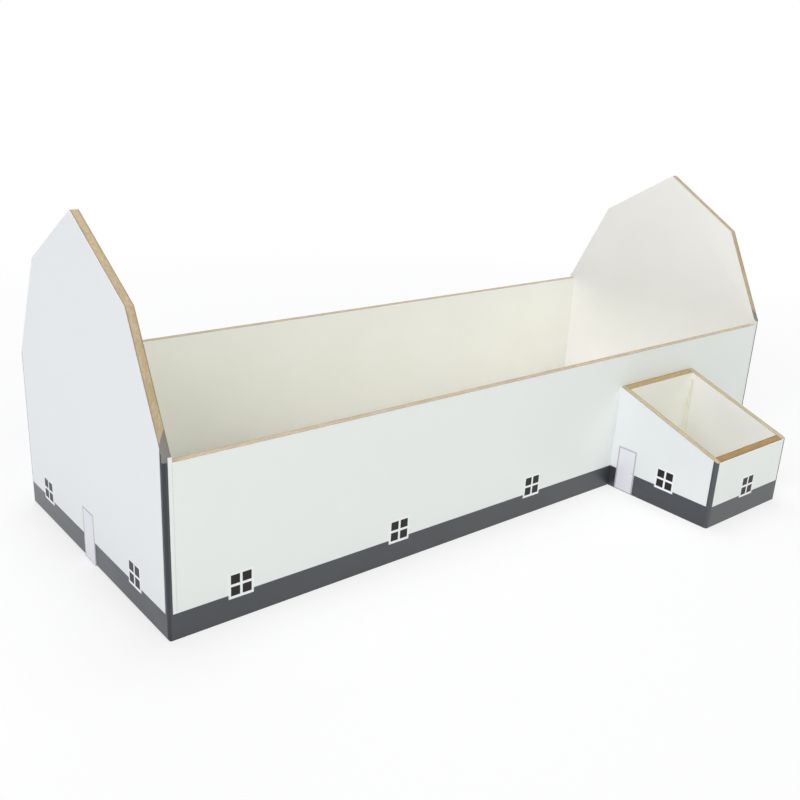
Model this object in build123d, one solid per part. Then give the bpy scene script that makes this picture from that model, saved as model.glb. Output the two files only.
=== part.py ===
from build123d import *
import math
import os

# Toy dairy barn of fibreboard: a long open box between two gambrel gables, with a lean-to annexe.
# Lengths are in millimetres. The origin is the centre of the barn's underside, X runs along the
# barn, the annexe stands on the -Y side and Z is up.

# Barn box
barn_length = 950.0
barn_width = 357.0
wall_height = 181.0
board_thickness = 9.0
floor_thickness = 9.0
corner_radius = 3.0

# Gambrel gables: the eaves stand a little above the walls
eave_rise = 9.0
eave_shoulder = 3.0
knee_inset = 63.7
lower_pitch = 62.8
upper_pitch = 30.2

# Annexe: an open box with a sloping top, fixed to the barn's front wall
annexe_width = 155.0
annexe_depth = 152.6
annexe_end_gap = 157.0
annexe_front_height = 87.0
annexe_pitch = 19.0

# White facing sheets on the grey outer faces
sheet_thickness = 0.4
band_height = 28.6
corner_strip = 5.0
ear_gap = 0.4

# Printed windows: four panes with a white frame and sill
print_thickness = 0.2
pane_size = 10.0
pane_bar = 2.9
frame_width = 2.4
sill_height = 3.0
barn_pane_height = 26.8
annexe_pane_height = 28.4

# Places of the windows, from the nearest end or edge to the window's middle
end_window_offset = 77.0
annexe_window_gap = 153.4
middle_window_shift = 6.4
back_window_count = 5
gable_front_window = 70.4
gable_back_window = 58.3
annexe_side_window = 67.5
annexe_front_window_shift = 0.7

# Printed doors: a pale leaf with a thin grey outline
door_width = 28.5
door_height = 60.5
outline_width = 2.0
door_lift = 0.8
gable_door_shift = 4.5
annexe_door_gap = 10.5
handle_width = 2.6
handle_height = 1.0
handle_level = 29.0

# Panel pins, punched below the surface
pin_diameter = 1.4
pin_length = 25.0
pin_head_diameter = 2.4
pin_head_height = 0.8
pin_sink = 0.8
pin_clearance = 0.05
pin_margin = 30.0
gable_pin_count = 3
floor_pin_count = 8
annexe_pin_count = 2

# Screws that hold the annexe, driven from inside the barn
screw_diameter = 3.5
screw_head_diameter = 7.0
screw_head_height = 2.2
screw_length = 15.0
screw_clearance = 0.05
screw_inset = 30.0

# Worked out from the sizes above
eave_height = wall_height + eave_rise
slope_run = knee_inset - eave_shoulder
knee_height = eave_height + slope_run * math.tan(math.radians(lower_pitch))
ridge_run = barn_width / 2 - knee_inset
peak_height = knee_height + ridge_run * math.tan(math.radians(upper_pitch))
annexe_slope = math.tan(math.radians(annexe_pitch))
annexe_back_height = annexe_front_height + annexe_depth * annexe_slope
annexe_middle_x = barn_length / 2 - annexe_end_gap - annexe_width / 2
annexe_back_y = -barn_width / 2 - sheet_thickness
annexe_middle_y = annexe_back_y - annexe_depth / 2
wall_length = barn_length - 2 * board_thickness
pane_block = 2 * pane_size + pane_bar
pane_pitch = pane_size + pane_bar

# One plane for each outer face: X to the right and Y up as seen from outside, origin at the foot
left_gable_plane = Plane((-barn_length / 2, 0, 0), x_dir=(0, -1, 0), z_dir=(-1, 0, 0))
right_gable_plane = Plane((barn_length / 2, 0, 0), x_dir=(0, 1, 0), z_dir=(1, 0, 0))
front_plane = Plane((0, -barn_width / 2, 0), x_dir=(1, 0, 0), z_dir=(0, -1, 0))
back_plane = Plane((0, barn_width / 2, 0), x_dir=(-1, 0, 0), z_dir=(0, 1, 0))
annexe_left_plane = Plane(
    (annexe_middle_x - annexe_width / 2, annexe_middle_y, 0), x_dir=(0, -1, 0), z_dir=(-1, 0, 0)
)
annexe_right_plane = Plane(
    (annexe_middle_x + annexe_width / 2, annexe_middle_y, 0), x_dir=(0, 1, 0), z_dir=(1, 0, 0)
)
annexe_front_plane = Plane(
    (annexe_middle_x, annexe_back_y - annexe_depth, 0), x_dir=(1, 0, 0), z_dir=(0, -1, 0)
)


def rectangle(left, right, bottom, top):
    """A flat rectangle between two sides and two levels."""
    return Pos((left + right) / 2, (bottom + top) / 2) * Rectangle(right - left, top - bottom)


def spread(count, span, margin):
    """Evenly spaced places about the middle of a span, the outer ones a margin from its ends."""
    reach = span / 2 - margin
    return [reach * (2 * index / (count - 1) - 1) for index in range(count)]


def peg(radius, top, bottom):
    """An upright cylinder between two levels."""
    return Pos(0, 0, (top + bottom) / 2) * Cylinder(radius, top - bottom)


def pin():
    """A headed panel pin that points down from the origin, its head punched below the surface."""
    shank = peg(pin_diameter / 2, -pin_sink, -pin_sink - pin_length)
    head = peg(pin_head_diameter / 2, -pin_sink, -pin_sink - pin_head_height)
    return shank + head


def pin_hole():
    """The hole that a pin leaves, open at the surface."""
    shank = peg(pin_diameter / 2 + pin_clearance, 0, -pin_sink - pin_length - pin_clearance)
    head = peg(pin_head_diameter / 2 + pin_clearance, 0, -pin_sink - pin_head_height)
    return shank + head


def screw(clearance=0.0):
    """A countersunk screw that points down from the origin, or its hole when given a clearance."""
    radius = screw_diameter / 2 + clearance
    head_radius = screw_head_diameter / 2 + clearance
    tip = screw_length + clearance
    profile = Polygon(
        (0, 0),
        (head_radius, 0),
        (radius, -screw_head_height),
        (radius, -tip + screw_diameter / 2),
        (0, -tip),
        align=None,
    )
    return revolve(Plane.XZ * profile, Axis.Z)


def repeat(solid, places):
    """Copies of one solid at a list of places."""
    return [place * solid for place in places]


def drilled(board, *hole_groups):
    """A board with the holes of every joint that it shares."""
    return board - [hole for group in hole_groups for hole in group]


def gable_outline():
    """Gambrel outline of a gable, upright on its own plane, its eave corners cut back."""
    half = barn_width / 2
    knee = half - knee_inset
    eave = half - eave_shoulder
    return Polygon(
        (-half, 0),
        (half, 0),
        (half, eave_height - eave_shoulder),
        (eave, eave_height),
        (knee, knee_height),
        (0, peak_height),
        (-knee, knee_height),
        (-eave, eave_height),
        (-half, eave_height - eave_shoulder),
        align=None,
    )


def gable_board():
    """Gable board with its two outer upright corners rounded, outer face on the plane."""
    board = extrude(gable_outline(), amount=-board_thickness)
    corners = board.edges().filter_by(Axis.Y).group_by(Axis.Z)[-1]
    return fillet(corners, corner_radius)


def annexe_outline():
    """Sloping outline of the annexe's left side, its low front edge at +X."""
    half = annexe_depth / 2
    return Polygon(
        (-half, 0), (half, 0), (half, annexe_front_height), (-half, annexe_back_height), align=None
    )


def annexe_side_board():
    """Left side board of the annexe with its outer front corner rounded, outer face on the plane."""
    board = extrude(annexe_outline(), amount=-board_thickness)
    outer = board.edges().filter_by(Axis.Y).group_by(Axis.Z)[-1]
    return fillet(outer.sort_by(Axis.X)[-1], corner_radius)


def annexe_cross_board(distance):
    """Annexe board between its sides, bevelled to the slope, its front a distance from the barn."""
    front = annexe_back_y - distance
    back = front + board_thickness
    width = annexe_width - 2 * board_thickness
    front_top = annexe_back_height - distance * annexe_slope
    back_top = front_top + board_thickness * annexe_slope
    profile = Polygon((front, 0), (back, 0), (back, back_top), (front, front_top), align=None)
    return Pos(annexe_middle_x - width / 2, 0, 0) * extrude(Plane.YZ * profile, amount=width)


def window_frame(middle, level):
    """White outline that a window needs: its frame on the facing and the sill below the panes."""
    reach = pane_block / 2 + frame_width
    return rectangle(middle - reach, middle + reach, level - sill_height, level + pane_block + frame_width)


def window_panes(middle, level):
    """The four dark panes of a window."""
    offset = pane_pitch / 2
    centre = level + pane_block / 2
    pane = Rectangle(pane_size, pane_size)
    return [Pos(middle + x, centre + z) * pane for x in (-offset, offset) for z in (-offset, offset)]


def door_leaf(middle):
    """Whole outline of a door, from just above the ground."""
    return rectangle(middle - door_width / 2, middle + door_width / 2, door_lift, door_height)


def door_outline(middle):
    """Grey line round the top and sides of a door, with a thin threshold."""
    opening = rectangle(
        middle - door_width / 2 + outline_width,
        middle + door_width / 2 - outline_width,
        door_lift + outline_width / 2,
        door_height - outline_width,
    )
    return door_leaf(middle) - opening


def facing(outline, windows=(), level=0.0, doors=()):
    """A white sheet: the face above the band, with tabs for window sills and doors."""
    sheet = outline
    for middle in windows:
        sheet += window_frame(middle, level)
    for middle in doors:
        sheet += door_leaf(middle)
    return extrude(sheet, amount=sheet_thickness)


def prints(shapes):
    """Flat printed shapes as thin solids on the outside of a facing."""
    return [Pos(0, 0, sheet_thickness) * extrude(shape, amount=print_thickness) for shape in shapes]


def placed(plane, solids):
    """Solids drawn on a face's plane, moved to that face and grouped as one node."""
    return Compound(children=[plane.location * solid for solid in solids])


def write(node, shape):
    """Write one node's file."""
    shape.label = node
    export_step(shape, f"parts/{node}.step")


os.makedirs("parts", exist_ok=True)

# Joints of the barn box: pin places on the outer faces
end_joint = barn_width / 2 - board_thickness / 2
gable_pin_places = [
    Pos(side * end_joint, wall_height / 2 + level, 0)
    for side in (-1, 1)
    for level in spread(gable_pin_count, wall_height, pin_margin)
]
gable_pin_places += [
    Pos(x, floor_thickness / 2, 0) for x in spread(gable_pin_count, barn_width, 2 * pin_margin)
]
floor_pin_places = [
    Pos(x, floor_thickness / 2, 0) for x in spread(floor_pin_count, barn_length, 2 * pin_margin)
]
left_gable_places = [left_gable_plane.location * place for place in gable_pin_places]
right_gable_places = [right_gable_plane.location * place for place in gable_pin_places]
front_floor_places = [front_plane.location * place for place in floor_pin_places]
back_floor_places = [back_plane.location * place for place in floor_pin_places]

# Joints of the annexe: pins through its sides into the front and back boards and the floor
annexe_joint = annexe_depth / 2 - board_thickness / 2
annexe_pin_places = [
    Pos(side * annexe_joint, annexe_front_height / 2 + level, 0)
    for side in (-1, 1)
    for level in spread(annexe_pin_count, annexe_front_height, pin_margin)
]
annexe_pin_places += [
    Pos(x, floor_thickness / 2, 0) for x in spread(annexe_pin_count, annexe_depth, pin_margin)
]
annexe_side_places = [
    plane.location * place
    for plane in (annexe_left_plane, annexe_right_plane)
    for place in annexe_pin_places
]

# Screw places on the inner face of the front wall
inner_front_plane = Plane(
    (annexe_middle_x, -barn_width / 2 + board_thickness, 0), x_dir=(-1, 0, 0), z_dir=(0, 1, 0)
)
screw_places = [
    inner_front_plane.location * Pos(x, z, 0)
    for x in (screw_inset - annexe_width / 2, annexe_width / 2 - screw_inset)
    for z in (floor_thickness + screw_inset, annexe_back_height - screw_inset)
]

left_gable_holes = repeat(pin_hole(), left_gable_places)
right_gable_holes = repeat(pin_hole(), right_gable_places)
front_floor_holes = repeat(pin_hole(), front_floor_places)
back_floor_holes = repeat(pin_hole(), back_floor_places)
annexe_pin_holes = repeat(pin_hole(), annexe_side_places)
screw_holes = repeat(screw(screw_clearance), screw_places)

# Boards of the barn box
gable = gable_board()
wall = extrude(rectangle(-wall_length / 2, wall_length / 2, 0, wall_height), amount=-board_thickness)
floor_width = barn_width - 2 * board_thickness
floor = Pos(0, 0, floor_thickness / 2) * Box(wall_length, floor_width, floor_thickness)

left_gable = drilled(left_gable_plane.location * gable, left_gable_holes)
right_gable = drilled(right_gable_plane.location * gable, right_gable_holes)
front_wall = drilled(
    front_plane.location * wall, left_gable_holes, right_gable_holes, front_floor_holes, screw_holes
)
back_wall = drilled(back_plane.location * wall, left_gable_holes, right_gable_holes, back_floor_holes)
barn_floor = drilled(floor, left_gable_holes, right_gable_holes, front_floor_holes, back_floor_holes)

# Boards of the annexe
annexe_floor_depth = annexe_depth - 2 * board_thickness
annexe_floor_width = annexe_width - 2 * board_thickness
annexe_base = Pos(annexe_middle_x, annexe_middle_y, floor_thickness / 2) * Box(
    annexe_floor_width, annexe_floor_depth, floor_thickness
)
side_board = annexe_side_board()
annexe_left_side = drilled(annexe_left_plane.location * side_board, annexe_pin_holes)
annexe_right_side = drilled(
    annexe_right_plane.location * mirror(side_board, about=Plane.YZ), annexe_pin_holes
)
annexe_front = drilled(annexe_cross_board(annexe_depth), annexe_pin_holes)
annexe_back = drilled(annexe_cross_board(board_thickness), annexe_pin_holes, screw_holes)
annexe_floor = drilled(annexe_base, annexe_pin_holes)

write("left_gable", left_gable)
write("right_gable", right_gable)
write("front_wall", front_wall)
write("back_wall", back_wall)
write("barn_floor", barn_floor)
write("annexe_left_side", annexe_left_side)
write("annexe_right_side", annexe_right_side)
write("annexe_front", annexe_front)
write("annexe_back", annexe_back)
write("annexe_floor", annexe_floor)

# White facings, each drawn on its own face
gable_window_places = (gable_back_window - barn_width / 2, barn_width / 2 - gable_front_window)
gable_field = gable_outline() & rectangle(
    -barn_width / 2 + corner_strip, barn_width / 2 - corner_strip, band_height, peak_height
)
gable_facing = facing(gable_field, gable_window_places, barn_pane_height, [-gable_door_shift])

# The front and back sheets also cover the gables' edges, up to just below the eaves
long_reach = barn_length / 2 - corner_strip
long_field = rectangle(-long_reach, long_reach, band_height, wall_height)
ear_height = eave_height - eave_shoulder - ear_gap
for side in (-1, 1):
    ear = sorted((side * long_reach, side * wall_length / 2))
    long_field += rectangle(*ear, wall_height, ear_height)

first_window = end_window_offset - barn_length / 2
last_window = annexe_middle_x - annexe_width / 2 - annexe_window_gap
middle_window = (first_window + last_window) / 2 - middle_window_shift
end_bay_window = (annexe_middle_x + annexe_width / 2 + barn_length / 2) / 2
front_window_places = (first_window, middle_window, last_window, end_bay_window)
back_window_places = spread(back_window_count, barn_length, end_window_offset)
front_facing = facing(long_field, front_window_places, barn_pane_height)
back_facing = facing(long_field, back_window_places, barn_pane_height)

side_reach = annexe_depth / 2
side_field = annexe_outline() & rectangle(
    -side_reach, side_reach - corner_strip, band_height, annexe_back_height
)
side_window = side_reach - annexe_side_window
side_door = annexe_door_gap + door_width / 2 - side_reach
side_facing = facing(side_field, [side_window], annexe_pane_height, [side_door])
blind_facing = mirror(facing(side_field, [side_window], annexe_pane_height), about=Plane.YZ)
annexe_reach = annexe_width / 2 - corner_strip
annexe_field = rectangle(-annexe_reach, annexe_reach, band_height, annexe_front_height)
annexe_front_sheet = facing(annexe_field, [annexe_front_window_shift], annexe_pane_height)

write("left_gable_facing", placed(left_gable_plane, [gable_facing]))
write("right_gable_facing", placed(right_gable_plane, [gable_facing]))
write("front_wall_facing", drilled(front_plane.location * front_facing, screw_holes))
write("back_wall_facing", placed(back_plane, [back_facing]))
write("annexe_left_facing", placed(annexe_left_plane, [side_facing]))
write("annexe_right_facing", placed(annexe_right_plane, [blind_facing]))
write("annexe_front_facing", placed(annexe_front_plane, [annexe_front_sheet]))

# Dark window panes, one node for each face
pane_sets = {
    "left_gable": (left_gable_plane, gable_window_places, barn_pane_height),
    "right_gable": (right_gable_plane, gable_window_places, barn_pane_height),
    "front_wall": (front_plane, front_window_places, barn_pane_height),
    "back_wall": (back_plane, back_window_places, barn_pane_height),
    "annexe_left": (annexe_left_plane, [side_window], annexe_pane_height),
    "annexe_right": (annexe_right_plane, [-side_window], annexe_pane_height),
    "annexe_front": (annexe_front_plane, [annexe_front_window_shift], annexe_pane_height),
}
for face, (plane, middles, level) in pane_sets.items():
    panes = [pane for middle in middles for pane in window_panes(middle, level)]
    write(f"{face}_window_panes", placed(plane, prints(panes)))

# Doors: a leaf inside its outline, and a handle bar on the annexe's door
door_sets = {
    "left_gable": (left_gable_plane, -gable_door_shift),
    "right_gable": (right_gable_plane, -gable_door_shift),
    "annexe": (annexe_left_plane, side_door),
}
for name, (plane, middle) in door_sets.items():
    outline = door_outline(middle)
    leaf = door_leaf(middle) - outline
    if name == "annexe":
        handle_right = middle + door_width / 2 - outline_width
        handle_left = handle_right - handle_width
        handle = rectangle(handle_left, handle_right, handle_level, handle_level + handle_height)
        leaf -= handle
        outline += handle
    write(f"{name}_door_leaf", placed(plane, prints([leaf])))
    write(f"{name}_door_outline", placed(plane, prints([outline])))

# Fasteners, one node for each joint group
write("left_gable_pins", Compound(children=repeat(pin(), left_gable_places)))
write("right_gable_pins", Compound(children=repeat(pin(), right_gable_places)))
write("floor_pins", Compound(children=repeat(pin(), front_floor_places + back_floor_places)))
write("annexe_pins", Compound(children=repeat(pin(), annexe_side_places)))
write("annexe_screws", Compound(children=repeat(screw(), screw_places)))
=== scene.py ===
import math

import bmesh
import bpy
from mathutils import Matrix, Vector


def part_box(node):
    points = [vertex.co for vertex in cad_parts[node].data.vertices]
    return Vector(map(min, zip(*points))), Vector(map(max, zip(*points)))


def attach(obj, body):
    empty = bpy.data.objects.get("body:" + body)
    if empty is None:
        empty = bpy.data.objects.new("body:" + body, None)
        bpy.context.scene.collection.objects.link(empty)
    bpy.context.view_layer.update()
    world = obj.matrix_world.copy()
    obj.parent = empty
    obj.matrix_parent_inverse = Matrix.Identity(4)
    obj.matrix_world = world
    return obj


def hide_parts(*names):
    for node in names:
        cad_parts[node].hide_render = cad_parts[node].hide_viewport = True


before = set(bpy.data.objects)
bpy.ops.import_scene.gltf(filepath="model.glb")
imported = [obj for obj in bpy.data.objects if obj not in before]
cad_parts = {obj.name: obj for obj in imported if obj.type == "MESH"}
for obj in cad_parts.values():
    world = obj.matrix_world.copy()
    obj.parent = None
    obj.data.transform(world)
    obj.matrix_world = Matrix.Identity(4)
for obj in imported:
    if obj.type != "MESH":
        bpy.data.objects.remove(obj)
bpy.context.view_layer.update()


# Gables: two gambrel end boards of 9 mm fibreboard, sawn to shape, painted and glued over the ends
# of the long walls. Their outer upright corners are rounded, and each eave has a small shoulder.
BOARD = 9.0
BARN_LENGTH = 950.0
BARN_WIDTH = 357.0
EAVE_HEIGHT = 190.0
EAVE_SHOULDER = 3.0
KNEE_INSET = 63.7
LOWER_PITCH = math.radians(62.8)
UPPER_PITCH = math.radians(30.2)
KNEE_HEIGHT = EAVE_HEIGHT + (KNEE_INSET - EAVE_SHOULDER) * math.tan(LOWER_PITCH)
PEAK_HEIGHT = KNEE_HEIGHT + (BARN_WIDTH / 2 - KNEE_INSET) * math.tan(UPPER_PITCH)
CORNER_RADIUS = 3.0
CORNER_STEPS = 6
SANDED_ARRIS = 0.35
ARRIS_STEPS = 2
# The outside paint laps over each eave: this far above it at the outer face, and down the corner
LAP_OUTSIDE = 6.2
LAP_DOWN = 8.0
# A point this close to a face, in mm, lies on it
TOUCH = 0.1
# How much of a face's normal lies along an axis when it barely, mostly or squarely looks that way
BARELY = 0.1
MOSTLY = 0.5
SQUARE_ON = 0.99
SHARP_EDGE = math.radians(25)
SMOOTH_EDGE = math.radians(30)
FLAT_EDGE = math.radians(0.5)
WELD_GAP = 0.00001


def mm(*values):
    """A point in metres from millimetres."""
    return Vector(values) / 1000


def colour(code):
    """A linear colour from an sRGB hex code."""
    parts = [int(code[place : place + 2], 16) / 255 for place in (1, 3, 5)]
    linear = [
        part / 12.92 if part <= 0.04045 else ((part + 0.055) / 1.055) ** 2.4 for part in parts
    ]
    return (*linear, 1)


def add(finish, kind, sockets, **settings):
    """Add a node to a finish, with its settings and its sockets' values or links."""
    made = finish.node_tree.nodes.new(kind)
    for name, value in settings.items():
        setattr(made, name, value)
    for name, value in sockets.items():
        if isinstance(value, bpy.types.NodeSocket):
            finish.node_tree.links.new(value, made.inputs[name])
        else:
            made.inputs[name].default_value = value
    return made


def start_finish(name):
    """An empty finish, named for the real material."""
    finish = bpy.data.materials.new(name)
    finish.use_nodes = True
    finish.node_tree.nodes.clear()
    return finish


def end_finish(finish, shader):
    """Join a finish's shader to its output."""
    add(finish, "ShaderNodeOutputMaterial", {"Surface": shader.outputs[0]})
    return finish


def raw_fibreboard(name, core, fleck, rim, stretch):
    """Sawn, sanded fibreboard edge: short fibres along the board, and darker pressed skins."""
    finish = start_finish(name)
    place = add(finish, "ShaderNodeTexCoord", {})
    along = add(
        finish, "ShaderNodeMapping", {"Vector": place.outputs["Object"], "Scale": stretch}
    )
    # Fibre bundles are about 0.3 mm wide; they are drawn 1.2 mm wide here so that they show
    fibre = add(
        finish, "ShaderNodeTexNoise",
        {"Vector": along.outputs[0], "Scale": 800, "Detail": 3, "Roughness": 0.7},
    )
    # Clumps of fibre differ in colour every 6 mm or so
    patch = add(
        finish, "ShaderNodeTexNoise", {"Vector": along.outputs[0], "Scale": 160, "Detail": 2}
    )
    speck = add(
        finish, "ShaderNodeMapRange",
        {"Value": fibre.outputs["Fac"], "From Min": 0.38, "From Max": 0.66,
         "To Min": 0, "To Max": 0.6},
    )
    lot = add(
        finish, "ShaderNodeMapRange",
        {"Value": patch.outputs["Fac"], "From Min": 0.35, "From Max": 0.65,
         "To Min": 0, "To Max": 0.35},
    )
    # The outer two millimetres on each side are pressed ever harder, and browner
    depth = add(finish, "ShaderNodeAttribute", {}, attribute_name="depth")
    middle = add(finish, "ShaderNodeMath", {0: depth.outputs["Fac"], 1: 0.5}, operation="SUBTRACT")
    off_middle = add(finish, "ShaderNodeMath", {0: middle.outputs[0]}, operation="ABSOLUTE")
    near_skin = add(
        finish, "ShaderNodeMapRange",
        {"Value": off_middle.outputs[0], "From Min": 0.3, "From Max": 0.48,
         "To Min": 0, "To Max": 0.85},
        interpolation_type="SMOOTHSTEP",
    )
    clumped = add(
        finish, "ShaderNodeMix",
        {0: lot.outputs[0], 6: colour(core), 7: colour(fleck)}, data_type="RGBA",
    )
    specked = add(
        finish, "ShaderNodeMix",
        {0: speck.outputs[0], 6: clumped.outputs[2], 7: colour(fleck)}, data_type="RGBA",
    )
    base = add(
        finish, "ShaderNodeMix",
        {0: near_skin.outputs[0], 6: specked.outputs[2], 7: colour(rim)}, data_type="RGBA",
    )
    fuzz = add(
        finish, "ShaderNodeBump",
        {"Height": fibre.outputs["Fac"], "Strength": 0.5, "Distance": 0.0002},
    )
    shader = add(
        finish, "ShaderNodeBsdfPrincipled",
        {"Base Color": base.outputs[2], "Roughness": 0.85, "IOR": 1.45, "Normal": fuzz.outputs[0]},
    )
    return end_finish(finish, shader)


def rolled_paint(name, code, drift_code, roughness, specular, stipple_scale):
    """Water-based satin paint, rolled on primed fibreboard: an even colour over a fine stipple."""
    finish = start_finish(name)
    place = add(finish, "ShaderNodeTexCoord", {})
    stipple = add(
        finish, "ShaderNodeTexNoise",
        {"Vector": place.outputs["Object"], "Scale": stipple_scale, "Detail": 2},
    )
    # The roller leaves slow changes of film thickness, about 100 mm across
    drift = add(
        finish, "ShaderNodeTexNoise",
        {"Vector": place.outputs["Object"], "Scale": 10, "Detail": 3},
    )
    share = add(
        finish, "ShaderNodeMapRange",
        {"Value": drift.outputs["Fac"], "From Min": 0.3, "From Max": 0.7,
         "To Min": 0, "To Max": 1},
    )
    tint = add(
        finish, "ShaderNodeMix",
        {0: share.outputs[0], 6: colour(code), 7: colour(drift_code)}, data_type="RGBA",
    )
    # The sheen drifts a little with the film
    sheen = add(
        finish, "ShaderNodeMapRange",
        {"Value": drift.outputs["Fac"], "From Min": 0.3, "From Max": 0.7,
         "To Min": roughness - 0.04, "To Max": roughness + 0.04},
    )
    skin = add(
        finish, "ShaderNodeBump",
        {"Height": stipple.outputs["Fac"], "Strength": 0.3, "Distance": 0.00003},
    )
    shader = add(
        finish, "ShaderNodeBsdfPrincipled",
        {"Base Color": tint.outputs[2], "Roughness": sheen.outputs[0], "IOR": 1.5,
         "Specular IOR Level": specular, "Normal": skin.outputs[0]},
    )
    return end_finish(finish, shader)


# Sawn slopes show tan fibre, dull and slightly fuzzy, with its streaks lying along each board
sawn_gable_edge = raw_fibreboard(
    "sawn_fibreboard_gable", "#CDBA9B", "#A18A66", "#8E7C62", (1, 0.3, 0.3)
)
# Cream satin paint inside: soft and even, a little warm
cream_paint = rolled_paint("cream_satin_paint", "#F3F2EC", "#F0EFE8", 0.5, 0.5, 900)
# Dark grey satin paint outside: nearly black, but its sheen picks up the pale surroundings
grey_paint = rolled_paint("dark_grey_satin_paint", "#45484D", "#42454A", 0.34, 0.45, 900)
# The upright corners were brushed on their own, and dried duller
corner_paint = rolled_paint(
    "dark_grey_paint_brushed_on_corner", "#484A4E", "#444549", 0.6, 0.12, 700
)
# Where the grey was rolled over an eave it lies thin on the raw edge, so fibre dulls and warms it
lapped_paint = rolled_paint("thin_grey_paint_lap", "#8C8880", "#7E7A72", 0.6, 0.4, 500)


def board_blank(name, low, high):
    """A board cut to its overall size between two corners in mm."""
    bpy.ops.object.select_all(action="DESELECT")
    low = mm(*low)
    high = mm(*high)
    bpy.ops.mesh.primitive_cube_add(size=1, location=(low + high) / 2, scale=high - low)
    board = bpy.context.object
    board.name = name
    board.data.name = name
    bpy.ops.object.transform_apply(location=True, rotation=True, scale=True)
    return board


def saw(board, point, normal):
    """Saw through a board at a point in mm; the side that the normal points to falls away."""
    bpy.context.view_layer.objects.active = board
    bpy.ops.object.mode_set(mode="EDIT")
    bpy.ops.mesh.select_all(action="SELECT")
    bpy.ops.mesh.bisect(plane_co=mm(*point), plane_no=normal, use_fill=True, clear_outer=True)
    bpy.ops.object.mode_set(mode="OBJECT")


def pick_faces(board, chosen):
    """Open a board for editing, and pick the faces whose middle in mm and normal pass a test."""
    bpy.context.view_layer.objects.active = board
    bpy.ops.object.mode_set(mode="EDIT")
    bpy.ops.mesh.select_mode(type="FACE")
    bpy.ops.mesh.select_all(action="DESELECT")
    mesh = bmesh.from_edit_mesh(board.data)
    for face in mesh.faces:
        if chosen(face.calc_center_median() * 1000, face.normal):
            face.select = True
    bmesh.update_edit_mesh(board.data)


def everywhere(middle, normal):
    """A test that every face passes."""
    return True


def score(board, chosen, point, normal):
    """Score a line across the faces that pass a test, at a point in mm."""
    pick_faces(board, chosen)
    bpy.ops.mesh.bisect(plane_co=mm(*point), plane_no=Vector(normal).normalized())
    bpy.ops.object.mode_set(mode="OBJECT")


def draw_in(board, top_middle, rise, share):
    """Extend a board upward to a level, drawing its width in y to a share of what it was."""
    pick_faces(board, lambda middle, normal: normal.z > SQUARE_ON)
    bpy.ops.mesh.extrude_region_move(TRANSFORM_OT_translate={"value": mm(0, 0, rise)})
    bpy.ops.transform.resize(value=(1, share, 1), center_override=mm(*top_middle))
    bpy.ops.object.mode_set(mode="OBJECT")


def round_edges(board, chosen, radius, steps):
    """Round the sharp edges that pass a test, which gets an edge's two ends in mm."""
    bpy.context.view_layer.objects.active = board
    bpy.ops.object.mode_set(mode="EDIT")
    bpy.ops.mesh.select_mode(type="EDGE")
    bpy.ops.mesh.select_all(action="DESELECT")
    mesh = bmesh.from_edit_mesh(board.data)
    for edge in mesh.edges:
        if edge.calc_face_angle(0) > SHARP_EDGE and chosen(*[end.co * 1000 for end in edge.verts]):
            edge.select = True
    bmesh.update_edit_mesh(board.data)
    bpy.ops.mesh.bevel(offset=radius / 1000, offset_type="OFFSET", segments=steps, profile=0.5)
    bpy.ops.object.mode_set(mode="OBJECT")


def work_edges(board, outer, inner, at_corner):
    """Round a board's outer upright corners, and sand its other edges but for the glued ones."""
    round_edges(
        board,
        lambda *ends: all(abs(end.x - outer) < TOUCH and at_corner(end) for end in ends),
        CORNER_RADIUS,
        CORNER_STEPS,
    )
    round_edges(
        board,
        lambda *ends: not all(abs(end.x - inner) < TOUCH and at_corner(end) for end in ends),
        SANDED_ARRIS,
        ARRIS_STEPS,
    )


def coat(board, finish, chosen):
    """Give a finish to the faces whose middle in mm and normal pass a test."""
    if finish.name not in board.data.materials:
        board.data.materials.append(finish)
    index = board.data.materials.find(finish.name)
    for face in board.data.polygons:
        if chosen(face.center * 1000, face.normal):
            face.material_index = index


def note_depth(board, axis, outer, inner):
    """Store how deep each point lies in the board's thickness, from 0 outside to 1 inside."""
    layer = board.data.attributes.new("depth", "FLOAT", "POINT")
    for point, spot in zip(board.data.vertices, layer.data):
        spot.value = (point.co[axis] * 1000 - outer) / (inner - outer)


def fix_in_place(piece, slot, *nodes):
    """Smooth the small roundings, and fix the piece to the barn in place of its CAD nodes."""
    bpy.ops.object.select_all(action="DESELECT")
    piece.select_set(True)
    bpy.context.view_layer.objects.active = piece
    bpy.ops.object.shade_smooth_by_angle(angle=SMOOTH_EDGE)
    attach(piece, "root")
    if nodes:
        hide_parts(*nodes)


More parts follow.
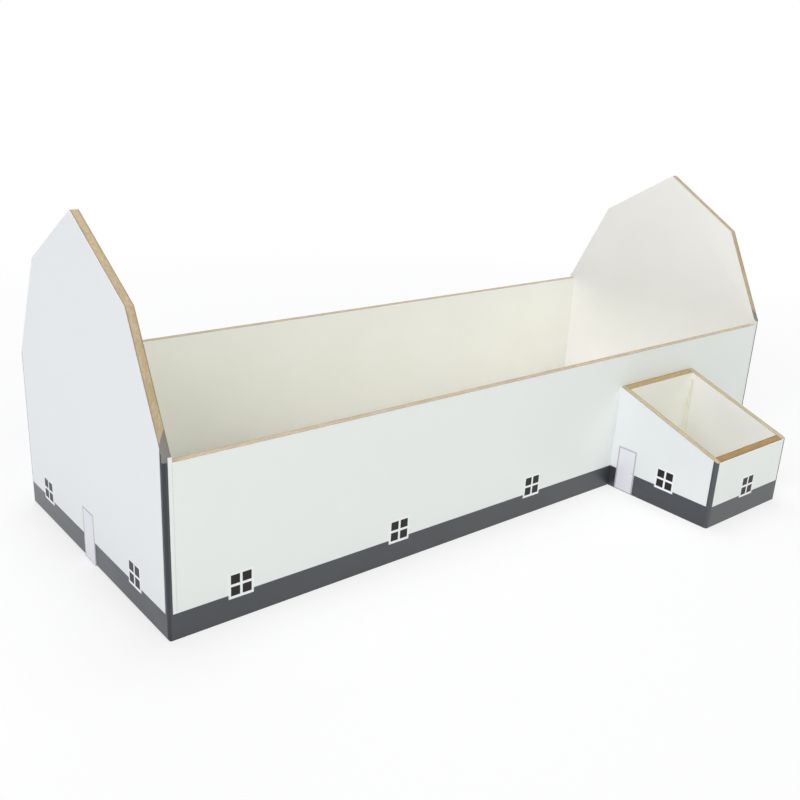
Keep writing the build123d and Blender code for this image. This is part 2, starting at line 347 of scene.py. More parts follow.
def make_gable(name, node, side, lap_inside):
    """One gable board; side is -1 for the left end and 1 for the right.

    lap_inside is how far above the eave the outside paint laps at the inner face.
    """
    half = BARN_WIDTH / 2
    outer = side * BARN_LENGTH / 2
    inner = outer - side * BOARD
    gable = board_blank(
        name,
        (min(outer, inner), -half, 0),
        (max(outer, inner), half, EAVE_HEIGHT - EAVE_SHOULDER),
    )
    middle_x = (outer + inner) / 2
    draw_in(gable, (middle_x, 0, EAVE_HEIGHT), EAVE_SHOULDER, (half - EAVE_SHOULDER) / half)
    knee_reach = half - KNEE_INSET
    draw_in(
        gable,
        (middle_x, 0, KNEE_HEIGHT),
        KNEE_HEIGHT - EAVE_HEIGHT,
        knee_reach / (half - EAVE_SHOULDER),
    )
    draw_in(gable, (middle_x, 0, PEAK_HEIGHT), PEAK_HEIGHT - KNEE_HEIGHT, 0)
    bpy.ops.object.mode_set(mode="EDIT")
    bpy.ops.mesh.select_all(action="SELECT")
    bpy.ops.mesh.remove_doubles(threshold=WELD_GAP)
    bpy.ops.mesh.dissolve_limited(angle_limit=FLAT_EDGE)
    bpy.ops.object.mode_set(mode="OBJECT")
    for way in (-1, 1):
        # The lap ends on a slant across the slope
        up_slope = Vector((0, -way / math.tan(LOWER_PITCH), 1))
        eave = Vector((outer, way * (half - EAVE_SHOULDER), EAVE_HEIGHT))
        slant = Vector((inner - outer, 0, 0)) + (lap_inside - LAP_OUTSIDE) * up_slope
        out_of_slope = Vector((0, way * math.sin(LOWER_PITCH), math.cos(LOWER_PITCH)))
        score(
            gable,
            lambda middle, normal: normal.dot(out_of_slope) > SQUARE_ON,
            eave + LAP_OUTSIDE * up_slope,
            slant.cross(out_of_slope),
        )
    work_edges(gable, outer, inner, lambda end: abs(end.y) > half - TOUCH)

    def is_corner(middle, normal):
        """Tell whether a face belongs to a rounded upright corner or to the board's edge."""
        # The corner starts 18 degrees round from the outer face
        return -BARELY < normal.x * side < 0.95 and abs(normal.z) < BARELY

    score(gable, is_corner, (0, 0, EAVE_HEIGHT - LAP_DOWN), (0, 0, 1))

    def is_lap(middle, normal):
        """Tell whether the outside paint laps over a face of the slope or the corner."""
        way = 1 if middle.y > 0 else -1
        depth = abs(middle.x - outer) / BOARD
        lap_top = EAVE_HEIGHT + LAP_OUTSIDE + (lap_inside - LAP_OUTSIDE) * depth
        # The lower slope and its arrises look outward more than up
        on_slope = normal.z > 0.2 and normal.y * way > 0.6
        on_corner = is_corner(middle, normal) and middle.z > EAVE_HEIGHT - LAP_DOWN
        return middle.z < lap_top and (on_slope or on_corner)

    coat(gable, sawn_gable_edge, everywhere)
    coat(gable, cream_paint, lambda middle, normal: normal.x * side < -MOSTLY)
    # The grey covers the outer face and the upright edges, short of the inner arris and the slopes
    coat(
        gable,
        grey_paint,
        lambda middle, normal: normal.x * side > MOSTLY
        or abs(normal.y) > 0.15 and -MOSTLY < normal.z < 0.2 and normal.x * side > -0.2,
    )
    coat(
        gable,
        corner_paint,
        lambda middle, normal: is_corner(middle, normal) and normal.x * side > BARELY,
    )
    coat(gable, lapped_paint, is_lap)
    note_depth(gable, 0, outer, inner)
    fix_in_place(gable, "painted_board", node)


make_gable("left_gable_board", "left_gable", -1, lap_inside=20.0)
make_gable("right_gable_board", "right_gable", 1, lap_inside=13.5)


# Long walls: two low boards glued and pinned between the gables. Their sawn top edges are left raw,
# and only their long arrises are sanded, so that the painted joints at the ends stay closed.
WALL_HEIGHT = 181.0
WALL_REACH = BARN_LENGTH / 2 - BOARD
# An edge that spans more than this along an axis, in mm, runs along it
LONG_SPAN = 20
# Far along the walls the raw top edge looks pinker and greyer than the gables' slopes
sawn_wall_edge = raw_fibreboard(
    "sawn_fibreboard_wall", "#D2C3AA", "#A69276", "#9A8870", (0.3, 1, 0.3)
)


def runs_along(axis):
    """A test for edges that run along one axis."""
    return lambda first, second: abs(first[axis] - second[axis]) > LONG_SPAN


def make_wall(name, side):
    """One long wall; side is -1 for the front and 1 for the back."""
    outer = side * BARN_WIDTH / 2
    inner = outer - side * BOARD
    wall = board_blank(
        name, (-WALL_REACH, min(outer, inner), 0), (WALL_REACH, max(outer, inner), WALL_HEIGHT)
    )
    round_edges(wall, runs_along(0), SANDED_ARRIS, ARRIS_STEPS)
    coat(wall, sawn_wall_edge, everywhere)
    coat(wall, cream_paint, lambda middle, normal: normal.y * side < -MOSTLY)
    coat(wall, grey_paint, lambda middle, normal: normal.y * side > MOSTLY)
    note_depth(wall, 1, outer, inner)
    return wall


front_wall = make_wall("front_wall_board", -1)
back_wall = make_wall("back_wall_board", 1)
fix_in_place(back_wall, "painted_board", "back_wall")


# Barn floor: a fibreboard panel inside the walls, flush with their lower edges and cream on top.
def make_floor(name, node):
    """A floor panel, as large as its CAD node."""
    low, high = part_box(node)
    panel = board_blank(name, low * 1000, high * 1000)
    round_edges(panel, lambda *ends: True, SANDED_ARRIS, ARRIS_STEPS)
    coat(panel, sawn_wall_edge, everywhere)
    coat(panel, cream_paint, lambda middle, normal: normal.z > MOSTLY)
    note_depth(panel, 2, 0, BOARD)
    fix_in_place(panel, "painted_board", node)


make_floor("barn_floor_board", "barn_floor")


# Annexe: an open box against the front wall, its side boards sawn to a slope and its cross boards
# bevelled to match. The side boards cover the cross boards' ends.
ANNEXE_MIDDLE_X = 240.5
ANNEXE_WIDTH = 155.0
SHEET_THICKNESS = 0.4
ANNEXE_BACK_Y = -BARN_WIDTH / 2 - SHEET_THICKNESS
ANNEXE_DEPTH = 152.6
ANNEXE_FRONT_Y = ANNEXE_BACK_Y - ANNEXE_DEPTH
ANNEXE_FRONT_HEIGHT = 87.0
ANNEXE_PITCH = math.radians(19)
ANNEXE_SLOPE = math.tan(ANNEXE_PITCH)
ANNEXE_BACK_HEIGHT = ANNEXE_FRONT_HEIGHT + ANNEXE_DEPTH * ANNEXE_SLOPE
ANNEXE_UP = Vector((0, -math.sin(ANNEXE_PITCH), math.cos(ANNEXE_PITCH)))
# The sides' sawn edges are paler than the gables'; the planed bevels cut the fibres at an angle and
# look browner, the front one most
sawn_annexe_edge = raw_fibreboard(
    "sawn_fibreboard_annexe", "#D3C7A9", "#A79570", "#9A896C", (1, 0.3, 0.3)
)
front_bevel = raw_fibreboard(
    "planed_fibreboard_front", "#B69762", "#87683F", "#785D3B", (0.3, 1, 0.3)
)
back_bevel = raw_fibreboard(
    "planed_fibreboard_back", "#D0B586", "#A28357", "#8F744E", (0.3, 1, 0.3)
)
# The annexe's corners were brushed on their own and dried duller; their paler grey is painted sheen
brushed_corner_painted_sheen = rolled_paint(
    "annexe_corner_grey_with_painted_sheen", "#5A5D61", "#55585C", 0.6, 0.12, 700
)


def make_annexe_side(name, node, side):
    """One sloping side board; side is -1 for the left and 1 for the right."""
    outer = ANNEXE_MIDDLE_X + side * ANNEXE_WIDTH / 2
    inner = outer - side * BOARD
    board = board_blank(
        name,
        (min(outer, inner), ANNEXE_FRONT_Y, 0),
        (max(outer, inner), ANNEXE_BACK_Y, ANNEXE_BACK_HEIGHT),
    )
    saw(board, (outer, ANNEXE_FRONT_Y, ANNEXE_FRONT_HEIGHT), ANNEXE_UP)
    work_edges(board, outer, inner, lambda end: end.y < ANNEXE_FRONT_Y + TOUCH)
    coat(board, sawn_annexe_edge, everywhere)
    coat(board, cream_paint, lambda middle, normal: normal.x * side < -MOSTLY)
    coat(
        board,
        grey_paint,
        lambda middle, normal: abs(normal.z) < MOSTLY
        and normal.x * side > -MOSTLY
        and normal.y < MOSTLY,
    )
    # The rounded front corners get the paler grey, a painted sheen in place of their reflection
    coat(
        board,
        brushed_corner_painted_sheen,
        lambda middle, normal: abs(normal.z) < BARELY
        and normal.y < -BARELY
        and normal.x * side > BARELY,
    )
    note_depth(board, 0, outer, inner)
    fix_in_place(board, "painted_board", node)


def make_annexe_cross(name, node, front, painted, bevel):
    """A cross board with its top bevelled to the slope; front is the y of its front face.

    painted is -1 where the grey side looks to the front, and 1 where it looks to the back.
    """
    reach = ANNEXE_WIDTH / 2 - BOARD
    top = ANNEXE_FRONT_HEIGHT + (front - ANNEXE_FRONT_Y) * ANNEXE_SLOPE
    board = board_blank(
        name,
        (ANNEXE_MIDDLE_X - reach, front, 0),
        (ANNEXE_MIDDLE_X + reach, front + BOARD, top + BOARD * ANNEXE_SLOPE),
    )
    saw(board, (ANNEXE_MIDDLE_X, front, top), ANNEXE_UP)
    round_edges(board, runs_along(0), SANDED_ARRIS, ARRIS_STEPS)
    coat(board, bevel, everywhere)
    coat(board, cream_paint, lambda middle, normal: normal.y * painted < -MOSTLY)
    coat(board, grey_paint, lambda middle, normal: normal.y * painted > MOSTLY)
    note_depth(board, 1, front, front + BOARD)
    fix_in_place(board, "painted_board", node)


make_annexe_side("annexe_left_side_board", "annexe_left_side", -1)
make_annexe_side("annexe_right_side_board", "annexe_right_side", 1)
make_annexe_cross("annexe_front_board", "annexe_front", ANNEXE_FRONT_Y, -1, front_bevel)
make_annexe_cross("annexe_back_board", "annexe_back", ANNEXE_BACK_Y - BOARD, 1, back_bevel)
make_floor("annexe_floor_board", "annexe_floor")


# Glue beads: a little yellowed glue stands in the annexe's four inner corners, where the boards
# were pressed together.
BEAD_RADIUS = 2.1
BEAD_INSET = 0.7
BEAD_SIDES = 20
# The bead's rings, in mm: the level of the first, and the steps between them
FIRST_RING = 14
RING_STEP = 6
# How far the bead swells in mm, and the two waves along it in radians per metre
SWELL = 0.25
LONG_WAVE = 330
SHORT_WAVE = 910
bead_glue = start_finish("dried_wood_glue")
place = add(bead_glue, "ShaderNodeTexCoord", {})
# Runs of glue are a few millimetres long
runs = add(
    bead_glue, "ShaderNodeTexNoise",
    {"Vector": place.outputs["Object"], "Scale": 160, "Detail": 2},
)
clear = add(
    bead_glue, "ShaderNodeMix",
    {0: runs.outputs["Fac"], 6: colour("#EFEEDA"), 7: colour("#E8E7CF")}, data_type="RGBA",
)
lumps = add(
    bead_glue, "ShaderNodeBump",
    {"Height": runs.outputs["Fac"], "Strength": 0.4, "Distance": 0.0004},
)
glue_skin = add(
    bead_glue, "ShaderNodeBsdfPrincipled",
    {"Base Color": clear.outputs[2], "Roughness": 0.3, "IOR": 1.47, "Normal": lumps.outputs[0]},
)
end_finish(bead_glue, glue_skin)


def lay_bead(name, side, front, top):
    """A bead up to a level in one inner corner, at the left or right side and the front or back."""
    corner_x = ANNEXE_MIDDLE_X + side * (ANNEXE_WIDTH / 2 - BOARD)
    corner_y = ANNEXE_FRONT_Y + BOARD if front else ANNEXE_BACK_Y - BOARD
    inward_y = 1 if front else -1
    bpy.ops.object.select_all(action="DESELECT")
    bpy.ops.mesh.primitive_cylinder_add(
        vertices=BEAD_SIDES,
        radius=BEAD_RADIUS / 1000,
        depth=(top - BOARD) / 1000,
        location=mm(
            corner_x - side * BEAD_INSET, corner_y + inward_y * BEAD_INSET, (top + BOARD) / 2
        ),
    )
    bead = bpy.context.object
    bead.name = name
    bead.data.name = name
    bpy.ops.object.transform_apply(location=True, rotation=True, scale=True)
    for level in range(FIRST_RING, top, RING_STEP):
        score(bead, everywhere, (0, 0, level), (0, 0, 1))
    # Each ring of the bead is pushed in or out a little, as squeezed glue is uneven
    for point in bead.data.vertices:
        long_wave = math.sin(point.co.z * LONG_WAVE)
        swell = SWELL * long_wave * math.sin(point.co.z * SHORT_WAVE + side)
        point.co.x -= side * swell / 1000
        point.co.y += inward_y * swell / 1000
    saw(bead, (corner_x, 0, 0), (side, 0, 0))
    saw(bead, (0, corner_y, 0), (0, -inward_y, 0))
    bead.data.materials.append(bead_glue)
    fix_in_place(bead, "painted_board")


BACK_BEAD_TOP = 128
FRONT_BEAD_TOP = 83
lay_bead("glue_bead_back_right", 1, False, BACK_BEAD_TOP)
lay_bead("glue_bead_back_left", -1, False, BACK_BEAD_TOP)
lay_bead("glue_bead_front_right", 1, True, FRONT_BEAD_TOP)
lay_bead("glue_bead_front_left", -1, True, FRONT_BEAD_TOP)


# Fasteners: bright steel panel pins, punched below the surface and filled over, and four
# cross-head screws, countersunk into the front wall from inside the barn, that hold the annexe.
SCREW_HEAD_RADIUS = 3.5
SCREW_HEAD_HEIGHT = 2.2
SCREW_RADIUS = 1.75
SCREW_LENGTH = 15.0
SCREW_TIP_SHARE = 0.08
SCREW_INSET = 30
TURNED_SIDES = 40
# The countersink starts just above the wall's surface and is a little wider than the head
COUNTERSINK_RISE = 0.1
COUNTERSINK_PLAY = 0.15
COUNTERSINK_DEPTH = 2.3
# The cross recess, 4 mm across: its cutter's sizes, and how far below the surface its middle lies
RECESS_SPAN = 4.0
RECESS_CUT = 1.4
RECESS_WIDTH = 0.8
RECESS_MIDDLE = 0.6
steel = start_finish("bright_zinc_plated_steel")
place = add(steel, "ShaderNodeTexCoord", {})
# Drawn wire keeps marks about 0.4 mm apart
drawn = add(
    steel, "ShaderNodeTexNoise",
    {"Vector": place.outputs["Object"], "Scale": 2500, "Detail": 2},
)
dullness = add(
    steel, "ShaderNodeMapRange",
    {"Value": drawn.outputs["Fac"], "From Min": 0.3, "From Max": 0.7,
     "To Min": 0.25, "To Max": 0.4},
)
metal = add(
    steel, "ShaderNodeBsdfPrincipled",
    {"Base Color": colour("#B9B8B2"), "Metallic": 1.0, "Roughness": dullness.outputs[0]},
)
end_finish(steel, metal)


def dress(finish, places, ending):
    """Give a finish to the CAD nodes that are named for some places with the same ending."""
    for place_name in places:
        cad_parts[place_name + ending].material_slots[0].material = finish


dress(steel, ("left_gable", "right_gable", "floor", "annexe"), "_pins")


def carve(piece, cutter):
    """Cut one solid out of another, and clear the cutter away."""
    bpy.context.view_layer.objects.active = piece
    cut = piece.modifiers.new("cut", "BOOLEAN")
    cut.operation = "DIFFERENCE"
    cut.solver = "EXACT"
    cut.object = cutter
    bpy.ops.object.modifier_apply(modifier=cut.name)
    bpy.data.objects.remove(cutter, do_unlink=True)


def turned_cone(name, x, surface, z, wide, narrow, depth):
    """A cone turned into the wall from its inner surface, wide at the surface and narrow inside."""
    bpy.ops.object.select_all(action="DESELECT")
    bpy.ops.mesh.primitive_cone_add(
        vertices=TURNED_SIDES,
        radius1=narrow / 1000,
        radius2=wide / 1000,
        depth=depth / 1000,
        location=mm(x, surface - depth / 2, z),
        rotation=(math.radians(-90), 0, 0),
    )
    cone = bpy.context.object
    cone.name = name
    cone.data.name = name
    bpy.ops.object.transform_apply(location=True, rotation=True, scale=True)
    return cone


screw_surface = -BARN_WIDTH / 2 + BOARD
screws = []
screw_reach = ANNEXE_WIDTH / 2 - SCREW_INSET
for x in (ANNEXE_MIDDLE_X - screw_reach, ANNEXE_MIDDLE_X + screw_reach):
    for z in (BOARD + SCREW_INSET, ANNEXE_BACK_HEIGHT - SCREW_INSET):
        sink = turned_cone(
            "countersink", x, screw_surface + COUNTERSINK_RISE, z,
            SCREW_HEAD_RADIUS + COUNTERSINK_PLAY, SCREW_RADIUS, COUNTERSINK_DEPTH,
        )
        carve(front_wall, sink)
        screw = turned_cone(
            "screw", x, screw_surface, z, SCREW_HEAD_RADIUS, SCREW_RADIUS, SCREW_HEAD_HEIGHT
        )
        # The shank is drawn out of the head's narrow end, and tapers to its point
        pick_faces(screw, lambda middle, normal: normal.y < -SQUARE_ON)
        shank = SCREW_LENGTH - SCREW_HEAD_HEIGHT - SCREW_RADIUS
        bpy.ops.mesh.extrude_region_move(TRANSFORM_OT_translate={"value": mm(0, -shank, 0)})
        bpy.ops.mesh.extrude_region_move(TRANSFORM_OT_translate={"value": mm(0, -SCREW_RADIUS, 0)})
        bpy.ops.transform.resize(value=(SCREW_TIP_SHARE, 1, SCREW_TIP_SHARE))
        bpy.ops.object.mode_set(mode="OBJECT")
        recess_middle = Vector((x, screw_surface - RECESS_MIDDLE, z))
        for arm in (
            Vector((RECESS_SPAN, RECESS_CUT, RECESS_WIDTH)),
            Vector((RECESS_WIDTH, RECESS_CUT, RECESS_SPAN)),
        ):
            cutter = board_blank("recess", recess_middle - arm / 2, recess_middle + arm / 2)
            carve(screw, cutter)
        screw.data.materials.append(steel)
        screws.append(screw)
bpy.ops.object.select_all(action="DESELECT")
for screw in screws:
    screw.select_set(True)
bpy.context.view_layer.objects.active = screws[0]
bpy.ops.object.join()
screws[0].name = "annexe_screw_set"
fix_in_place(screws[0], "steel", "annexe_screws")
fix_in_place(front_wall, "painted_board", "front_wall")


# Facings: white self-adhesive sheets on the outer faces, cut off at the band and the corners. On
# the long walls they also cover the gables' edges; the board joint under them shows as a painted
# shade line.
def white_sheet(name, over_joint):
    """Printed white vinyl: flat, faintly glossy, with the board's roller texture just showing."""
    finish = start_finish(name)
    place = add(finish, "ShaderNodeTexCoord", {})
    stipple = add(
        finish, "ShaderNodeTexNoise",
        {"Vector": place.outputs["Object"], "Scale": 600, "Detail": 2},
    )
    # The white drifts slightly, about every 140 mm
    drift = add(
        finish, "ShaderNodeTexNoise", {"Vector": place.outputs["Object"], "Scale": 7, "Detail": 2}
    )
    tint = add(
        finish, "ShaderNodeMix",
        {0: drift.outputs["Fac"], 6: colour("#EEF1F0"), 7: colour("#EBEEED")}, data_type="RGBA",
    )
    if over_joint:
        spot = add(finish, "ShaderNodeSeparateXYZ", {"Vector": place.outputs["Object"]})
        along = add(finish, "ShaderNodeMath", {0: spot.outputs["X"]}, operation="ABSOLUTE")
        off_joint = add(
            finish, "ShaderNodeMath",
            {0: along.outputs[0], 1: WALL_REACH / 1000}, operation="SUBTRACT",
        )
        beside = add(finish, "ShaderNodeMath", {0: off_joint.outputs[0]}, operation="ABSOLUTE")
        # The joint's soft dip, 1.8 mm wide, is a painted shade line, and the strip past it is a
        # tenth paler
        painted_joint_shade = add(
            finish, "ShaderNodeMapRange",
            {"Value": beside.outputs[0], "From Min": 0, "From Max": 0.0009,
             "To Min": 0.6, "To Max": 0},
            interpolation_type="SMOOTHSTEP",
        )
        past = add(
            finish, "ShaderNodeMath", {0: off_joint.outputs[0], 1: 0}, operation="GREATER_THAN"
        )
        strip = add(
            finish, "ShaderNodeMath", {0: past.outputs[0], 1: 0.1}, operation="MULTIPLY"
        )
        tint = add(
            finish, "ShaderNodeMix",
            {0: strip.outputs[0], 6: tint.outputs[2], 7: colour("#F8F9F6")}, data_type="RGBA",
        )
        # Painted shade: the dip over the joint is darkened in the colour, not shaded by any shape
        tint = add(
            finish, "ShaderNodeMix",
            {0: painted_joint_shade.outputs[0], 6: tint.outputs[2], 7: colour("#D4D6D3")}, data_type="RGBA",
        )
    skin = add(
        finish, "ShaderNodeBump",
        {"Height": stipple.outputs["Fac"], "Strength": 0.25, "Distance": 0.00002},
    )
    shader = add(
        finish, "ShaderNodeBsdfPrincipled",
        {"Base Color": tint.outputs[2], "Roughness": 0.42, "IOR": 1.5, "Normal": skin.outputs[0]},
    )
    return end_finish(finish, shader)


end_sheet = white_sheet("white_vinyl_sheet", False)
long_sheet = white_sheet("white_vinyl_sheet_over_joint", True)
END_FACES = ("left_gable", "right_gable", "annexe_left", "annexe_right", "annexe_front")
LONG_FACES = ("front_wall", "back_wall")
dress(end_sheet, END_FACES, "_facing")
dress(long_sheet, LONG_FACES, "_facing")


# Windows: printed on the sheets, four near-black panes in a bright white frame with a deeper sill.
# The frame is a second pass of white ink, modelled once and copied to every window.
PANE = 10.0
PANE_BAR = 2.9
PANE_BLOCK = 2 * PANE + PANE_BAR
FRAME_WIDTH = 2.4
SILL_HEIGHT = 3.0
INK_THICKNESS = 0.12
# The level of the panes' foot
BARN_PANE_HEIGHT = 26.8
ANNEXE_PANE_HEIGHT = 28.4
# Where the windows' middles are: x along the long walls, y along the ends and the annexe's sides
FRONT_WINDOWS = (-398.0, -200.6, 9.6, 396.5)
BACK_WINDOWS = (-398.0, -199.0, 0.0, 199.0, 398.0)
GABLE_WINDOWS = (120.2, -108.1)
ANNEXE_SIDE_WINDOW = -264.0
ANNEXE_FRONT_WINDOW = 241.2


def printed_ink(name, code, drift_code, roughness, specular):
    """Cured printing ink: smooth, with a faint grain where the dots run together."""
    finish = start_finish(name)
    place = add(finish, "ShaderNodeTexCoord", {})
    # Print dots are 0.1 mm; their grain is drawn 1 mm wide so that it shows
    dots = add(
        finish, "ShaderNodeTexNoise",
        {"Vector": place.outputs["Object"], "Scale": 1000, "Detail": 3},
    )
    tint = add(
        finish, "ShaderNodeMix",
        {0: dots.outputs["Fac"], 6: colour(code), 7: colour(drift_code)}, data_type="RGBA",
    )
    skin = add(
        finish, "ShaderNodeBump",
        {"Height": dots.outputs["Fac"], "Strength": 0.2, "Distance": 0.00001},
    )
    shader = add(
        finish, "ShaderNodeBsdfPrincipled",
        {"Base Color": tint.outputs[2], "Roughness": roughness, "IOR": 1.5,
         "Specular IOR Level": specular, "Normal": skin.outputs[0]},
    )
    return end_finish(finish, shader)


# Near-black ink, satin, so that it stays dark beside the white
pane_ink = printed_ink("near_black_ink", "#1F1C19", "#191613", 0.4, 0.3)
dress(pane_ink, END_FACES + LONG_FACES, "_window_panes")

# White ink over the white sheet is brighter and a little bluer than the sheet alone
frame_ink = printed_ink("white_frame_ink", "#F5F7FA", "#F1F3F6", 0.35, 0.5)
frame_reach = PANE_BLOCK / 2 + FRAME_WIDTH
frame_middle = (PANE_BLOCK + FRAME_WIDTH - SILL_HEIGHT) / 2
frame_height = PANE_BLOCK + FRAME_WIDTH + SILL_HEIGHT
# A plane 1 mm wide, stretched to the frame's size
bpy.ops.object.select_all(action="DESELECT")
bpy.ops.mesh.primitive_plane_add(
    size=0.001, location=mm(0, 0, frame_middle), rotation=(math.radians(90), 0, 0)
)
pattern = bpy.context.object
pattern.name = "window_frame_pattern"
pattern.scale = (2 * frame_reach, frame_height, 1)
bpy.ops.object.transform_apply(location=True, rotation=True, scale=True)
for line in (-PANE_BLOCK / 2, -PANE_BAR / 2, PANE_BAR / 2, PANE_BLOCK / 2):
    score(pattern, everywhere, (line, 0, 0), (1, 0, 0))
for line in (0, PANE, PANE + PANE_BAR, PANE_BLOCK):
    score(pattern, everywhere, (0, 0, line), (0, 0, 1))


def is_pane(middle, normal):
    """Tell whether a cell of the scored pattern is one of the four openings."""
    across = PANE_BAR / 2 < abs(middle.x) < PANE_BLOCK / 2
    upward = 0 < middle.z < PANE or PANE + PANE_BAR < middle.z < PANE_BLOCK
    return across and upward


pick_faces(pattern, is_pane)
bpy.ops.mesh.delete(type="FACE")
bpy.ops.object.mode_set(mode="OBJECT")
ink_film = pattern.modifiers.new("ink_film", "SOLIDIFY")
ink_film.thickness = INK_THICKNESS / 1000
ink_film.offset = 1
bpy.ops.object.modifier_apply(modifier=ink_film.name)
pattern.data.materials.append(frame_ink)


def print_frame(name, turn, *place):
    """A copy of the frame, turned about z to face outward, its panes' foot at a place in mm."""
    bpy.ops.object.select_all(action="DESELECT")
    pattern.select_set(True)
    bpy.context.view_layer.objects.active = pattern
    bpy.ops.object.duplicate()
    print_copy = bpy.context.object
    print_copy.name = name
    print_copy.data.name = name
    print_copy.rotation_euler = (0, 0, math.radians(turn))
    print_copy.location = mm(*place)
    bpy.ops.object.transform_apply(location=True, rotation=True, scale=True)
    fix_in_place(print_copy, "white_facing")


sheet_face = BARN_WIDTH / 2 + SHEET_THICKNESS
end_face = BARN_LENGTH / 2 + SHEET_THICKNESS
for number, x in enumerate(FRONT_WINDOWS, 1):
    print_frame(f"front_wall_window_frame_{number}", 0, x, -sheet_face, BARN_PANE_HEIGHT)
for number, x in enumerate(BACK_WINDOWS, 1):
    print_frame(f"back_wall_window_frame_{number}", 180, x, sheet_face, BARN_PANE_HEIGHT)
for number, y in enumerate(GABLE_WINDOWS, 1):
    print_frame(f"left_gable_window_frame_{number}", -90, -end_face, y, BARN_PANE_HEIGHT)
    print_frame(f"right_gable_window_frame_{number}", 90, end_face, -y, BARN_PANE_HEIGHT)
annexe_reach = ANNEXE_WIDTH / 2 + SHEET_THICKNESS
annexe_front_face = ANNEXE_FRONT_Y - SHEET_THICKNESS
for name, turn, x, y in (
    ("left", -90, ANNEXE_MIDDLE_X - annexe_reach, ANNEXE_SIDE_WINDOW),
    ("right", 90, ANNEXE_MIDDLE_X + annexe_reach, ANNEXE_SIDE_WINDOW),
    ("front", 0, ANNEXE_FRONT_WINDOW, annexe_front_face),
):
    print_frame(f"annexe_{name}_window_frame", turn, x, y, ANNEXE_PANE_HEIGHT)
bpy.data.objects.remove(pattern, do_unlink=True)


# Doors: printed on the sheets, a pale leaf in a thin grey outline.
leaf_ink = printed_ink("pale_leaf_ink", "#ECECF0", "#E9E9EE", 0.4, 0.5)
line_ink = printed_ink("grey_line_ink", "#C0C3C7", "#BABDC2", 0.4, 0.5)
DOORS = ("left_gable_door", "right_gable_door", "annexe_door")
dress(leaf_ink, DOORS, "_leaf")
dress(line_ink, DOORS, "_outline")


# Studio: a white floor that fades into a white surround, with large soft lamps.
def seen_directly(finish):
    """A share that is 1 for what the camera sees, also in a reflection or through a clear body."""
    rays = add(finish, "ShaderNodeLightPath", {})
    seen = add(
        finish, "ShaderNodeMath",
        {0: rays.outputs["Is Camera Ray"], 1: rays.outputs["Is Glossy Ray"]}, operation="ADD",
    )
    seen = add(
        finish, "ShaderNodeMath",
        {0: seen.outputs[0], 1: rays.outputs["Is Transmission Ray"]},
        operation="ADD", use_clamp=True,
    )
    return seen.outputs[0]


# The floor lies just below the barn's underside
FLOOR_SIZE = 12
FLOOR_LEVEL = -0.0002
bpy.ops.object.select_all(action="DESELECT")
bpy.ops.mesh.primitive_plane_add(size=FLOOR_SIZE, location=(0, 0, FLOOR_LEVEL))
studio_floor = bpy.context.object
studio_floor.name = "studio_floor"
floor_finish = start_finish("white_studio_floor")
floor_paint = add(floor_finish, "ShaderNodeBsdfDiffuse", {"Color": colour("#F4F4F4")})
floor_light = add(floor_finish, "ShaderNodeEmission", {"Color": (1, 1, 1, 1), "Strength": 1})
# From 0.6 m to 1.6 m off the middle the floor's shadows fade away
spot = add(floor_finish, "ShaderNodeTexCoord", {})
reach = add(
    floor_finish, "ShaderNodeVectorMath", {0: spot.outputs["Object"]}, operation="LENGTH"
)
fade = add(
    floor_finish, "ShaderNodeMapRange",
    {"Value": reach.outputs["Value"], "From Min": 0.6, "From Max": 1.6,
     "To Min": 0.7, "To Max": 1},
)
share = add(
    floor_finish, "ShaderNodeMath",
    {0: seen_directly(floor_finish), 1: fade.outputs[0]}, operation="MULTIPLY",
)
floor_mix = add(
    floor_finish, "ShaderNodeMixShader",
    {0: share.outputs[0], 1: floor_paint.outputs[0], 2: floor_light.outputs[0]},
)
end_finish(floor_finish, floor_mix)
studio_floor.data.materials.append(floor_finish)

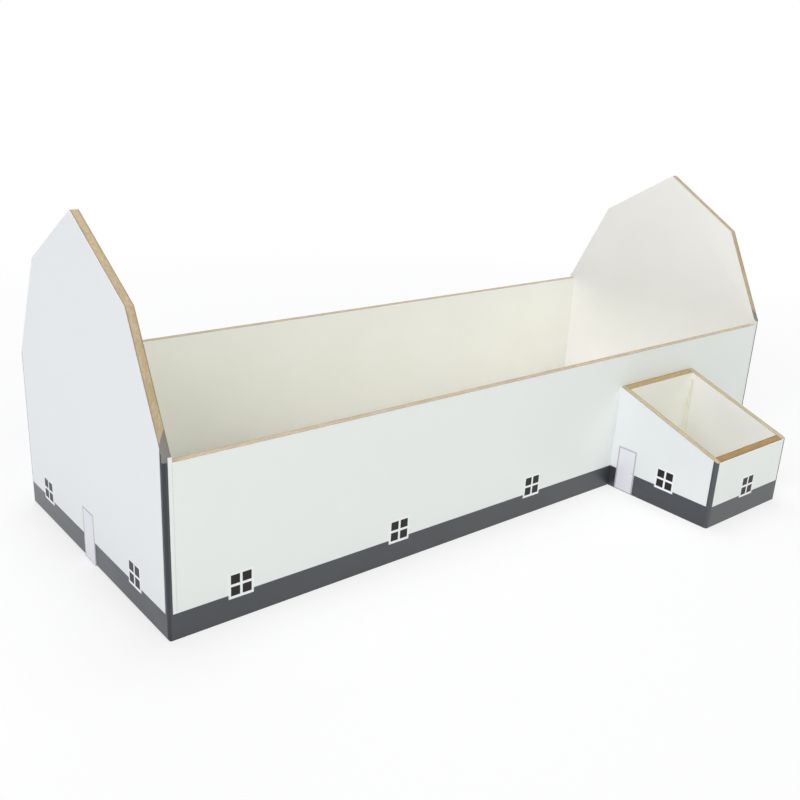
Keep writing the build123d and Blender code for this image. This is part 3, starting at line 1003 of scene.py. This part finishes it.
surround = bpy.data.worlds.new("white_surround")
bpy.context.scene.world = surround
surround.use_nodes = True
surround.node_tree.nodes.clear()
sky = add(surround, "ShaderNodeBackground", {"Color": colour("#FAFCFF"), "Strength": 0.186})
backdrop = add(surround, "ShaderNodeBackground", {"Color": (1, 1, 1, 1), "Strength": 1})
both = add(
    surround, "ShaderNodeMixShader",
    {0: seen_directly(surround), 1: sky.outputs[0], 2: backdrop.outputs[0]},
)
add(surround, "ShaderNodeOutputWorld", {"Surface": both.outputs[0]})


LAMP_TARGET = Vector((0, 0, 0.15))


def add_lamp(name, place, size, power, code):
    """A large soft lamp aimed at the middle of the barn."""
    lamp = bpy.data.lights.new(name, "AREA")
    lamp.shape = "DISK"
    lamp.size = size
    lamp.energy = power
    lamp.color = colour(code)[:3]
    holder = bpy.data.objects.new(name, lamp)
    bpy.context.scene.collection.objects.link(holder)
    holder.location = place
    aim = LAMP_TARGET - Vector(place)
    holder.rotation_euler = aim.to_track_quat("-Z", "Y").to_euler()


add_lamp("soft_lamp_left", (-4.4, -2.0, 3.4), 4.0, 172, "#F9F8FF")
add_lamp("soft_lamp_front", (0.5, -4.6, 2.2), 3.0, 64, "#FBFFEB")
add_lamp("soft_lamp_top", (0.3, 0.6, 4.4), 3.0, 87, "#FDFEFF")
add_lamp("soft_lamp_back", (0.6, 3.2, 3.6), 3.0, 35, "#F4F8FF")

# The camera stands where the photograph's perspective puts it
CAMERA_PLACE = (-0.803860, -0.882869, 0.523058)
CAMERA_HEADING = math.radians(-40.1774)
CAMERA_TILT = math.radians(90 - 19.8102)
CAMERA_ROLL = math.radians(3.0745)
LENS = 42.5684
SENSOR_WIDTH = 36
CLIP_START = 0.05
camera_data = bpy.data.cameras.new("camera")
camera_data.lens = LENS
camera_data.sensor_width = SENSOR_WIDTH
camera_data.clip_start = CLIP_START
camera = bpy.data.objects.new("camera", camera_data)
bpy.context.scene.collection.objects.link(camera)
turn = (
    Matrix.Rotation(CAMERA_HEADING, 4, "Z")
    @ Matrix.Rotation(CAMERA_TILT, 4, "X")
    @ Matrix.Rotation(CAMERA_ROLL, 4, "Z")
)
camera.matrix_world = Matrix.Translation(CAMERA_PLACE) @ turn
bpy.context.scene.camera = camera

bpy.context.scene.view_settings.view_transform = "Standard"
